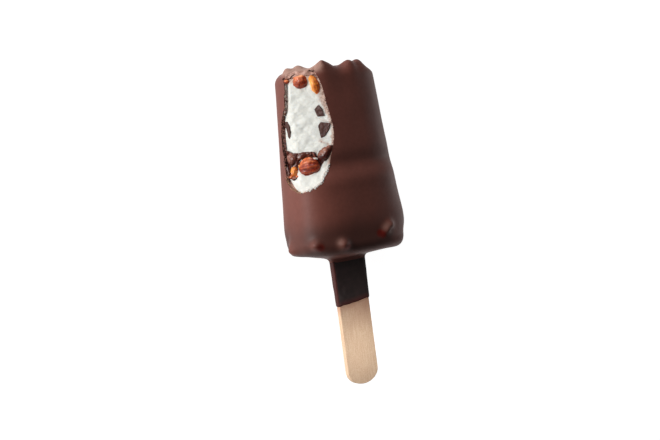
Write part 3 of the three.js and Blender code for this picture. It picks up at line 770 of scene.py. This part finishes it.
def paint_coating(shell):
    """Attributes of the coating: paler broken edges, thin red skin, and painted shade and highlights on its
    skin.
    """
    points = coordinates(shell.data)
    x, y, z = points.T
    uneven = rough(points, 1.5, 2, 23)
    # Painted light: the upper wall of the bite, which lies in shade, is made paler; the tan along the lower
    # left edge is the crumbly chocolate's own colour.
    inner = 1.2 * smoothstep(y, 58, 62) + 0.75 * (1 - smoothstep(y, 32, 35))
    # The top of the bar is paler too, as a painted highlight.
    top = np.maximum(smoothstep(y + 0.5 * uneven, 71, 74.5), np.clip(inner + 0.4 * uneven, 0, 1))
    # Dark red where the coating is thin by the foot knobs, on their shaded side, so partly painted shade.
    red = np.min([away(points, spot) / spot[3] for spot in THIN_AND_SHADED_SPOTS], axis=0)
    near = np.min([away(points, knob) / knob[4] for knob in FOOT_KNOBS if knob[3] > 0], axis=0)
    # Painted shade: the front darkens towards the foot, but not on the knobs.
    deep = (1 - smoothstep(y, 9, 19)) * smoothstep(y, 0, 3) * (1 - bell(near, 1.0))
    deep *= (0.6 + 0.4 * smoothstep(x, -25.5, -22.5)) * (1 - smoothstep(x, 10, 15))
    # Painted highlights: paler skin at the top left of the bar and on top of two foot knobs.
    pale = smoothstep(y + 0.4 * uneven, 74.5, 77) * (1 - smoothstep(x + 0.9 * uneven, -11.5, -6.8))
    pale *= smoothstep(z + 1.2 * uneven, -8, 4)
    for spot in HIGHLIGHT_SPOTS:
        pale += spot[4] * bell(away(points, spot), spot[3])
    set_attributes(shell, top=top, thin=1 - smoothstep(red, 0.45, 1.35), deep=deep, pale=pale)


def coating():
    """The coating. Returns a tree of its skin as it is before the bite."""
    shell = body_form("coating_chocolate", SKIN_INSET, 260, 44, 14, 140, 44, outer=True)
    skin = tree_of(shell)
    combine(shell, "DIFFERENCE", body_form("inner", COATING, 96, 10, 8, 60, 8))
    cut = combine(opening("opening"), "INTERSECT", beyond_face("flush", top_relief, 0.3))
    combine(shell, "DIFFERENCE", cut, *[slit(*ends) for ends in SLITS], stick_room())
    paint_cut(shell, skin)
    paint_coating(shell)
    place(shell, "chocolate_coating", "coating", sharp=35)
    return skin


# ---- Filling ----
def fudge_top(u):
    return FUDGE_TOP + 1.5 * smoothstep(u, -3.5, 1.2) + 1.3 * bell(u + 16.3, 2.2) - 2.2 * bell(u + 4.1, 0.9)


def fudge_foot(u):
    climb = 7.3 * smoothstep(u, -5.4, 2.1)
    return FUDGE_FOOT + climb - 1.4 * bell(u + 17, 2) + 2.0 * bell(u + 12.2, 1.2) - 0.8 * bell(u + 8.3, 2.5)


def filling(name):
    """The inside of the coating, and a smear out to its surface along the right side of the bite."""
    inside = body_form(name, COATING - 0.02, 200, 8, 8, 110, 10)
    smear = body_form("smear", SMEAR_INSET, 160, 6, 6, 80, 10)
    right = np.array([(SMEAR_LEFT, -FAR), (FAR, -FAR), (FAR, SMEAR_TOP), (SMEAR_LEFT, SMEAR_TOP)])
    points = np.concatenate([framed(BITE, *right.T, depth) for depth in (0, FAR)])
    combine(smear, "INTERSECT", opening("smear_room", grow=0.8, ragged=0, step=0.6),
            mesh_object("right", points, prism_faces(4, 2)))
    return combine(inside, "UNION", smear)


def slab(name, level, up):
    """Everything above or below a level that is a function of u, with an uneven edge."""
    depths = [-FAR, *np.arange(*WALL_REACH, 0.3), FAR]
    u, depth = np.meshgrid(np.arange(*LAYER_ACROSS, 0.3), depths)
    flat = framed(BITE, u, level(u), depth).reshape(-1, 3)
    y = level(u) + 0.22 * rough(flat, 1.4, 3, seed=51).reshape(u.shape)
    grid = framed(BITE, u, y, depth)
    end = FAR * 2 if up else -FAR
    return block(name, grid[::-1] if up else grid, lambda edge: edge * [1, 0, 1] + [0, end, 0])


def cream_relief(u, y, points):
    slow = (0.22 * np.sin(1.1 * u + 0.6 * y) + 0.2 * np.sin(0.9 * y - 0.7 * u + 2)
            + 0.12 * np.sin(2.1 * u) * np.cos(1.7 * y))
    relief = slow * 0.4 + 0.11 * rough(points * [0.8, 1.3, 0.8], 1.7, 4, seed=31, gain=0.65).reshape(u.shape)
    # The face is smoother and lies a little deeper round the chips.
    flat, dip_in = 1, 0
    for turn, _, corners in CHIPS.values():
        if turn == BITE_TURN:
            middle = np.mean(corners, axis=0)
            near = bell(np.hypot(u - middle[0], (y - middle[1]) * 0.75), 3.2)
            flat, dip_in = flat - 0.75 * near, dip_in + 0.12 * near
    ridge = 0.4 * bell(y - 56.3 + 0.35 * u, 0.45) * smoothstep(u, -2, 0.5)
    corner = 0.22 * np.maximum(0, -u - 11.3) ** 1.6
    return relief * flat - dip_in + ridge - corner


def fudge_relief(u, y, points):
    slow = (0.9 * bell(np.hypot(u + 13.4, y - 42.7), 2) - 0.3
            + 0.7 * bell(np.hypot((u + 6.9) / 1.8, y - 43.6), 1.3))
    return slow.ravel() + 0.35 * rough(points, 1.8, 3, seed=41)


def cream_piece(name, node, level, up, material):
    piece = filling(name)
    combine(piece, "DIFFERENCE", beyond_face("face", cream_relief, 0.25))
    combine(piece, "INTERSECT", slab("slab", level, up))
    points = coordinates(piece.data)
    u, y = points @ BITE[0], points[:, 1]
    edge_u, edge_y = np.array(RIGHT_SIDE).T
    inwards = np.interp(y, edge_y, edge_u) - u
    wide = 1 + 1.6 * smoothstep(y, 56, 66)
    uneven = rough(points, 1.2, 3, 71)
    smear = 1 - smoothstep(inwards + 0.6 * uneven, 0.5 * wide, 1.5 * wide)
    smear = np.maximum(smear, smoothstep(y + 0.7 * uneven, 71.3, 73.3))
    uneven = 0.3 * rough(points, 0.9, 2, 73)
    # Stains, and painted shadows under the lower chip and along the ridge between the chips.
    for u_from, y_from, u_to, y_to, width in STAINS_AND_SHADOWS:
        share = np.clip((y - y_from) / (y_to - y_from), 0, 1)
        off = np.hypot(u - u_from - share * (u_to - u_from), y - y_from - share * (y_to - y_from))
        smear = np.maximum(smear, 0.8 * bell(off + uneven, width))
    set_attributes(piece, smear=smear)
    place(piece, "ice_cream", node, sharp=60, material=material)


def fudge():
    piece = filling("fudge")
    combine(piece, "DIFFERENCE", beyond_face("face", fudge_relief, 0.25))
    combine(piece, "INTERSECT", slab("above", lambda u: fudge_foot(u) - 0.05, True),
            slab("below", lambda u: fudge_top(u) + 0.05, False))
    place(piece, "fudge", "fudge_layer", sharp=60, material=fudge_material())


# ---- Nuts ----
# Each has its place (u, y, depth, half sizes and turn), its look, and the slot of its finish. A look says
# where the nut broke (direction and distance), how far it narrows downwards, its ridges and fine relief,
# the direction its painted light comes from, over what range, and how much pale flesh shows.
NUTS = {
    "nut_top_left": (
        (-6.9, 72.6, 15.0, (3.1, 3.0, 2.9), 10),
        {"breaks": [((0.1, 0.9, 0.35), 0.8)], "light": (-0.3, 0.9, 0.1), "range": (-0.3, 1.0), "ridges": 0.4},
        "nut_red"),
    "nut_top_right": (
        (-1.25, 70.1, 15.2, (2.2, 4.2, 2.4), 15),
        {"breaks": [((-0.85, 0.2, 0.45), 0.72)], "taper": 0.55, "light": (-0.8, 0.5, 0.2)}, "nut_gold"),
    "nut_bit": ((-12.6, 73.3, 15.3, (0.9, 0.8, 0.9), 0), {"light": (0.2, 0.9, 0.3)}, "nut_red"),
    "nut_middle": (
        (-7.7, 37.9, 15.6, (4.3, 3.6, 3.0), 4),
        {"ridges": 0.8, "fine": 0.4, "light": (-0.35, 0.9, 0.1), "range": (0.2, 1.2)}, "nut_red"),
    "nut_small": (
        (-14.2, 36.6, 15.5, (1.65, 2.1, 1.5), -8),
        {"breaks": [((0.6, -0.3, 0.7), 0.75)], "taper": -0.3, "light": (-0.3, 0.6, 0.6), "flesh": 0.15,
         "range": (0.0, 1.5)}, "nut_gold"),
    "nut_crumb": (
        (-14.3, 34.1, 16.3, (1.1, 0.8, 0.9), 20),
        {"breaks": [((0.3, 0.5, 0.8), 0.6)], "light": (0.3, 0.7, 0.5), "flesh": 0.3}, "nut_dark"),
    "nut_coated": (
        (-0.7, 42.5, 15.3, (2.2, 3.9, 2.3), -46),
        {"breaks": [((-0.6, 0.2, 0.75), 0.85)], "light": (-0.9, 0.4, 0.2), "flesh": 0.6, "fine": 1.4,
         "range": (-0.2, 0.9)}, "nut_dark"),
}
LIT_LEFT, LIT_ABOVE = {"light": (-0.3, 0.8, 0.4)}, {"light": (0, 1, 0)}
# Small bits fused into the fudge, described in the same way.
BITS = {
    "fudge_chunk": ((-14.2, 42.0, 15.4, (2.1, 2.3, 1.5), 20), {"light": (-0.5, 0.6, 0.4), "fine": 2.2},
                    "nut_dark"),
    "dark_tip": ((-4.9, 42.7, 16.0, (0.75, 1.2, 0.7), 25), {"light": (-1, 0, 0)}, "nut_dark"),
    "red_bit_left": ((-15.7, 34.7, 16.0, (1.0, 0.75, 0.8), -20), LIT_LEFT, "nut_red"),
    "red_bit_right": ((-13.2, 34.6, 16.2, (0.8, 0.6, 0.7), 10), LIT_LEFT, "nut_red"),
    "orange_bit": ((-11.6, 38.3, 15.9, (0.5, 0.9, 0.6), 10), LIT_LEFT, "nut_gold"),
    "dark_bit_low": ((0.5, 37.2, 16.3, (0.8, 0.45, 0.5), 30), LIT_ABOVE, "nut_dark"),
    "dark_bit_high": ((-1.5, 47.3, 15.6, (0.4, 0.3, 0.3), 0), LIT_ABOVE, "nut_dark"),
    "white_bit": ((-4.9, 41.0, 15.9, (1.3, 0.4, 0.6), -8), LIT_ABOVE, "ice_cream"),
}
# Strands on the bitten face: (u, y) points, half width, height above the face, and slot.
STRANDS = {
    "glaze_arch": ([(-13.1, 39.2), (-12.1, 41.8), (-10.0, 43.1), (-7.3, 43.4), (-5.4, 42.9)], 0.95, 0.0,
                   "nut_dark"),
    "glaze_low": ([(-16.9, 39.0), (-16.2, 36.9), (-16.4, 35.0)], 0.6, 0.2, "nut_dark"),
    "cream_curl": ([(-5.2, 44.6), (-4.3, 43.6), (-3.9, 42.6), (-3.8, 41.6)], 0.3, -0.05, "ice_cream"),
}
LUMP_SMEAR = 0.45                 # how creamy the bits and strands of ice cream are


def unit_sphere(steps):
    ball = bmesh.new()
    bmesh.ops.create_icosphere(ball, subdivisions=steps, radius=1)
    points = np.array([v.co[:] for v in ball.verts])
    faces = [tuple(v.index for v in f.verts) for f in ball.faces]
    ball.free()
    return points, faces


def lump(name, spot, look, seed, steps=6):
    """A lumpy ellipsoid with broken facets, whose bare attribute is 1 on the facets."""
    u, y, depth, half, turn = spot
    points, faces = unit_sphere(steps)
    x, up, out = points.T
    form = points * (1 + 0.05 * np.sin(3 * x + 2 * up) + 0.04 * np.cos(4 * out))[:, None]
    form[:, [0, 2]] *= (1 + look.get("taper", 0) * np.minimum(form[:, 1], 0))[:, None]
    bare = np.zeros(len(form))
    for facing, reach in look.get("breaks", []):
        facing = np.array(facing) / np.linalg.norm(facing)
        over = form @ facing - reach + 0.04 * lumps(form, 0.4, seed)
        form -= np.maximum(over, 0)[:, None] * facing * 0.8
        bare = np.maximum(bare, smoothstep(over, 0.02, 0.1))
    # Painted light and shade: the tone is lighter on the side facing the look's light direction and darker
    # away from it; the ridges add painted shade in their grooves.
    light = np.array(look["light"]) / np.linalg.norm(look["light"])
    tone = points @ light + 0.25 * lumps(points, 0.5, seed + 1)
    tone = smoothstep(tone, *look.get("range", (-0.35, 0.75)))
    form *= np.array(half)
    round_axis = np.arctan2(form[:, 2] / half[2], form[:, 1] / half[1])
    crease = look.get("ridges", 0) * np.sin(9 * round_axis + 0.8 * lumps(form, 3.5, seed))
    relief = 0.13 * look.get("fine", 1) * rough(form, 1.5, 4, seed) + 0.24 * crease * (1 - np.abs(x) ** 3)
    form += points * relief[:, None]
    cos, sin = math.cos(math.radians(turn)), math.sin(math.radians(turn))
    x, up, out = form.T
    placed = framed(BITE, u + x * cos - up * sin, y + x * sin + up * cos, depth + out)
    thing = mesh_object(name, placed, faces)
    set_attributes(thing, bare=bare * look.get("flesh", 1), tone=np.clip(tone + 0.3 * crease, 0, 1),
                   smear=LUMP_SMEAR)
    return thing


def strand(name, line, half_width, depth, seed):
    """A lumpy strand that lies on the bitten face along a line of (u, y) points."""
    line = resampled(line, 0.15)
    tangent = np.gradient(line, axis=0)
    across = unit(np.stack([-tangent[:, 1], tangent[:, 0]], axis=1))
    share = np.linspace(0, 1, len(line))
    wide = half_width * np.maximum(np.sin(math.pi * share), 0.05) ** 0.4
    wide *= 1 + 0.45 * lumps(np.stack([share * 6, share, share], axis=1), 0.5, seed)
    sides = 16
    angle = around(sides)
    rings = []
    for middle, aside, reach in zip(line, across, wide):
        flat = middle + aside * (reach * np.cos(angle))[:, None]
        rings.append(framed(BITE, *flat.T, bite_face(middle[1]) + depth + 0.8 * reach * np.sin(angle)))
    points = capped(rings)
    points += 0.3 * half_width * BITE[2] * rough(points, 1.1, 3, seed)[:, None]
    thing = mesh_object(name, points, skin_faces(len(rings), sides))
    set_attributes(thing, tone=0.25 + 0.3 * lumps(points, 1.2, seed), smear=LUMP_SMEAR)
    return thing


# ---- Chips ----
def closed_line(points, step):
    """Points round a closed outline, with its corners slightly rounded."""
    line = np.array(points, float)
    for share in (0.06, 0.2, 0.25):
        line = cut_corners(line, np.roll(line, -1, axis=0), share)
    return evenly(np.concatenate([line, line[:1]]), step)[:-1]


def chip(name, material, seed):
    turn, depth, corners = CHIPS[name]
    basis = turned(turn)
    outline = closed_line(corners, 0.12)
    middle = outline.mean(axis=0)
    front = depth + CHIP_PROUD
    rows = [(front - CHIP_THICKNESS, scale) for scale in np.linspace(0.1, 1, 8)]
    rows += [(front - 0.25 + 0.25 * math.sin(a), 1 - 0.08 * (1 - math.cos(a)))
             for a in np.linspace(0, math.pi / 2, 6)]
    rows += [(front, scale) for scale in np.linspace(0.9, 0.08, 14)]
    ends = [framed(basis, *middle, level)[None] for level in (front - CHIP_THICKNESS, front)]
    rings = [framed(basis, *(middle + (outline - middle) * scale).T, level) for level, scale in rows]
    points = np.concatenate([ends[0], *rings, ends[1]])
    points = points + basis[2] * (0.1 * rough(points, 1.1, 3, seed))[:, None]
    thing = mesh_object(f"broken_{name}", points, skin_faces(len(rows), len(outline)))
    place(thing, "chocolate_chip", name, sharp=50, material=material)


# ---- Stick and dip ----
def stick():
    turn = np.linspace(0, math.pi, 49)
    levels = STICK_FOOT + STICK_END_RISE * (1 - np.sin(turn))
    end = np.stack([-STICK_HALF_WIDTH * np.cos(turn), levels], axis=1)
    levels = np.linspace(STICK_FOOT + STICK_END_RISE, STICK_TOP, 60)[1:]
    right = np.stack([np.full(len(levels), STICK_HALF_WIDTH), levels], axis=1)
    outline = np.concatenate([end, right, right[::-1] * [-1, 1]])
    tangent = np.roll(outline, -1, axis=0) - np.roll(outline, 1, axis=0)
    inward = unit(np.stack([-tangent[:, 1], tangent[:, 0]], axis=1))
    layers = []
    for a in np.linspace(-math.pi / 2, math.pi / 2, 14):
        x, y = (outline + inward * (STICK_BEVEL * (1 - math.cos(a)))).T
        level = math.copysign(STICK_HALF_THICKNESS - STICK_BEVEL, a) + STICK_BEVEL * math.sin(a)
        layers.append(np.stack([STICK_OFFSET + x, y, np.full(len(x), level)], axis=1))
    points = np.concatenate(layers)
    thing = mesh_object("wooden_stick", points, prism_faces(len(outline), len(layers)))
    set_attributes(thing, tint=STICK_TINT * smoothstep(points[:, 1], *TINT_LEVELS))
    place(thing, "stick_wood", "stick", sharp=50, material=wood())


def dip():
    """The chocolate that ran down the stick, with a slanted foot, and thin there and along its left side."""
    angle, power = around(200), 0.3
    left = 1 - smoothstep(stick_ring(angle, 0, power)[0] - STICK_OFFSET, -7.3, -6.7)
    rows = [(0, -0.2)] + [(0.9 * (1 - math.cos(a)), DIP_WALL * math.sin(a))
                          for a in np.linspace(0.2, math.pi / 2, 8)]
    rows += [(level, DIP_WALL + DIP_SWELL * level) for level in np.linspace(1.4, DIP_RUN, 60)]
    rings, thin = [], []
    for level, wall in rows:
        x, z = stick_ring(angle, wall, power)
        low = 1 - level / DIP_RUN
        ring = np.stack([x, DIP_FOOT + level + low * math.tan(DIP_SLANT) * x, z], axis=1)
        ring[:, 1] += 0.25 * low * lumps(ring, 2.6, 61)
        rings.append(ring)
        thin.append(np.maximum(1 - smoothstep(level, 0.2, 3.0), left))
    points = capped(rings)
    wave = 0.12 * rough(points, 4, 2, 63)
    points[:, 2] += np.sign(points[:, 2]) * np.clip(wave, -0.1, 0.15) * (np.abs(points[:, 2]) > 0.6)
    thing = mesh_object("dip_chocolate", points, skin_faces(len(rings), len(angle)))
    set_attributes(thing, thin=np.concatenate([[1], *thin, [0]]))
    place(thing, "chocolate_dip", "stick_dip", sharp=60, material=dip_chocolate())


# ---- Crumbs ----
def edge_spots(side, basis, low, high, step):
    """Points and directions where an edge of the opening meets the coating's surface, between two levels."""
    spots = []
    for across, y in resampled(side, step):
        if low <= y <= high:
            start = framed(basis, across, y, FAR)
            hit, normal = SKIN.ray_cast(Vector(start), Vector(-basis[2]))[:2]
            if hit is not None:
                spots.append((np.array(hit), np.array(normal)))
    return spots


def crumbs(name, slot, material, spots, sizes, stretch, inward, spread, seed, smear=0.0):
    """Small broken bits round the spots, as one mesh. inward sinks them below the coating's surface."""
    draws = np.random.default_rng(seed)
    ball, faces = unit_sphere(3)
    points, all_faces = [], []
    for number, (spot, normal) in enumerate(spots):
        bit = ball * (1 + 0.45 * lumps(ball, 0.7, seed + number))[:, None]
        bit = bit * draws.uniform(*sizes) * np.array([1, draws.uniform(0.5, 0.9), stretch])
        spin = np.linalg.qr(draws.normal(size=(3, 3)))[0]
        middle = spot - normal * draws.uniform(*inward) + draws.uniform(-spread, spread, size=3)
        points.append(middle + bit @ spin)
        all_faces += [tuple(i + number * len(ball) for i in face) for face in faces]
    thing = mesh_object(name, np.concatenate(points), all_faces)
    set_attributes(thing, top=0, smear=smear)
    place(thing, slot, sharp=60, material=material)


# ---- The object ----
BROKEN = broken_chocolate()
SKIN = coating()
cream = ice_cream()
cream_piece("ice_cream_top", "ice_cream_upper", fudge_top, True, cream)
cream_piece("ice_cream_foot", "ice_cream_lower", fudge_foot, False, cream)
fudge()

NUT_SKINS = {
    "nut_red": nut_material("nut_red", (0.12, 0.007, 0.002), (0.38, 0.048, 0.01), (0.72, 0.22, 0.08),
                            (0.8, 0.45, 0.24)),
    "nut_gold": nut_material("nut_gold", (0.4, 0.06, 0.008), (0.68, 0.2, 0.025), (0.82, 0.36, 0.07),
                             (0.84, 0.56, 0.28)),
    "nut_dark": nut_material("nut_dark", (0.02, 0.002, 0.001), (0.085, 0.01, 0.006), (0.24, 0.09, 0.055),
                             (0.36, 0.19, 0.12)),
}
for seed, (node, (spot, look, slot)) in enumerate(NUTS.items()):
    place(lump(f"chopped_{node}", spot, look, 3 + 2 * seed), slot, node, sharp=70, material=NUT_SKINS[slot])
for seed, (name, (spot, look, slot)) in enumerate(BITS.items()):
    place(lump(name, spot, look, 33 + seed, steps=5), slot, sharp=70, material=NUT_SKINS.get(slot, cream))
for seed, (name, (line, half_width, depth, slot)) in enumerate(STRANDS.items()):
    place(strand(name, line, half_width, depth, 43 + seed), slot, sharp=70,
          material=NUT_SKINS.get(slot, cream))

chocolate_bits = chip_material()
for seed, chip_name in enumerate(CHIPS):
    chip(chip_name, chocolate_bits, 70 + seed)
stick()
dip()

# Crumbs along the edges of the bite.
left_edge = edge_spots(LEFT_SIDE, LEFT_FACE, 33, 70, 0.45)
low_left = [spot for spot in left_edge if spot[0][1] < 61]
crumbs("dark_crumbs", "chocolate_coating", BROKEN, low_left * 2 + left_edge[::2], (0.12, 0.36), 1.3,
       (0.2, 1.5), 0.3, 81)
lower_left = edge_spots(LEFT_SIDE, LEFT_FACE, 28, 36, 0.22)
tan = crumb_material()
crumbs("tan_crumbs", "nut_gold", tan, lower_left * 2 + left_edge[::5], (0.08, 0.22), 1.5, (0.0, 0.9), 0.3, 83)
lower_right = edge_spots(RIGHT_SIDE, BITE, 28.6, 38, 0.25)
crumbs("cream_flakes", "ice_cream", cream, lower_right * 4, (0.12, 0.5), 1.1, (0.2, 0.8), 0.4, 85, smear=0.25)
upper_left = edge_spots(LEFT_SIDE, LEFT_FACE, 60, 74, 0.12)
crumbs("cream_crumbs", "ice_cream", cream, upper_left, (0.1, 0.3), 1.3, (0.5, 1.7), 0.2, 89, smear=0.8)
upper_right = edge_spots(RIGHT_SIDE, BITE, 44, 72, 0.9)
crumbs("edge_crumbs", "chocolate_coating", BROKEN, upper_right, (0.1, 0.28), 1.3, (0.1, 0.6), 0.4, 87)


# ---- Floor, light and camera ----
def floor():
    half = 3.0
    corners = [(-half, -half, 0), (half, -half, 0), (half, half, 0), (-half, half, 0)]
    thing = mesh_object("floor", corners, [(0, 1, 2, 3)])
    shader = Shader("pale_floor", Roughness=0.9, Emission_Color=(1, 1, 1, 1), Emission_Strength=0.94)
    grey = shader.ramp((40, 3), (0.3, (0.32, 0.32, 0.32)), (0.7, (0.36, 0.36, 0.36)))
    shader.join(grey, shader.principled, "Base Color")
    thing.data.materials.append(shader.material)


def camera():
    yaw, rise, roll = CAMERA_YAW, CAMERA_RISE, CAMERA_ROLL
    toward = Vector((-math.sin(yaw) * math.cos(rise), math.sin(rise), math.cos(yaw) * math.cos(rise)))
    level = Vector((math.cos(yaw), 0, math.sin(yaw)))
    upright = Vector((math.sin(yaw) * math.sin(rise), math.cos(rise), -math.cos(yaw) * math.sin(rise)))
    right = level * math.cos(roll) - upright * math.sin(roll)
    up = level * math.sin(roll) + upright * math.cos(roll)
    target = right * AIM_RIGHT + up * AIM_UP + Vector((0, AIM_ALONG, 0))
    eye = PLACE @ (target + toward * CAMERA_DISTANCE)
    data = bpy.data.cameras.new("camera")
    data.lens, data.sensor_width = CAMERA_LENS, CAMERA_SENSOR
    thing = linked("camera", data)
    spin = Matrix.Rotation(-LEAN, 3, "X")
    columns = Matrix([spin @ right, spin @ up, spin @ toward]).transposed()
    thing.matrix_world = Matrix.Translation(eye) @ columns.to_4x4()
    bpy.context.scene.camera = thing


def soft_light(name, at, aim, size, power, spread=180):
    """A square soft light at one point of the row's frame, aimed at another."""
    data = bpy.data.lights.new(name, "AREA")
    data.shape, data.size, data.energy, data.spread = "SQUARE", size, power, math.radians(spread)
    spin = (Vector(at) - Vector(aim)).to_track_quat("Z", "Y").to_matrix().to_4x4()
    linked(name, data).matrix_world = Matrix.Translation(at) @ spin


def world():
    made = bpy.data.worlds.new("studio")
    made.use_nodes = True
    back = made.node_tree.nodes["Background"]
    back.inputs["Color"].default_value = (1, 1, 1, 1)
    back.inputs["Strength"].default_value = WORLD_STRENGTH
    bpy.context.scene.world = made


floor()
world()
soft_light("key", (-0.66, 0.25, 0.1), BODY_MIDDLE, 0.24, 5.8)
soft_light("top_light", (-0.1, 0.55, 0.2), BODY_MIDDLE, 0.2, 0.8)
soft_light("rim_light", (0.5, 0.02, 0.07), (0.02, 0.02, 0.017), 0.2, 0.45)
soft_light("stick_light", (0, -0.058, 0.3), (0, -0.052, 0.01), 0.02, 0.0028, spread=12)
camera()
bpy.context.scene.view_settings.view_transform = "Standard"
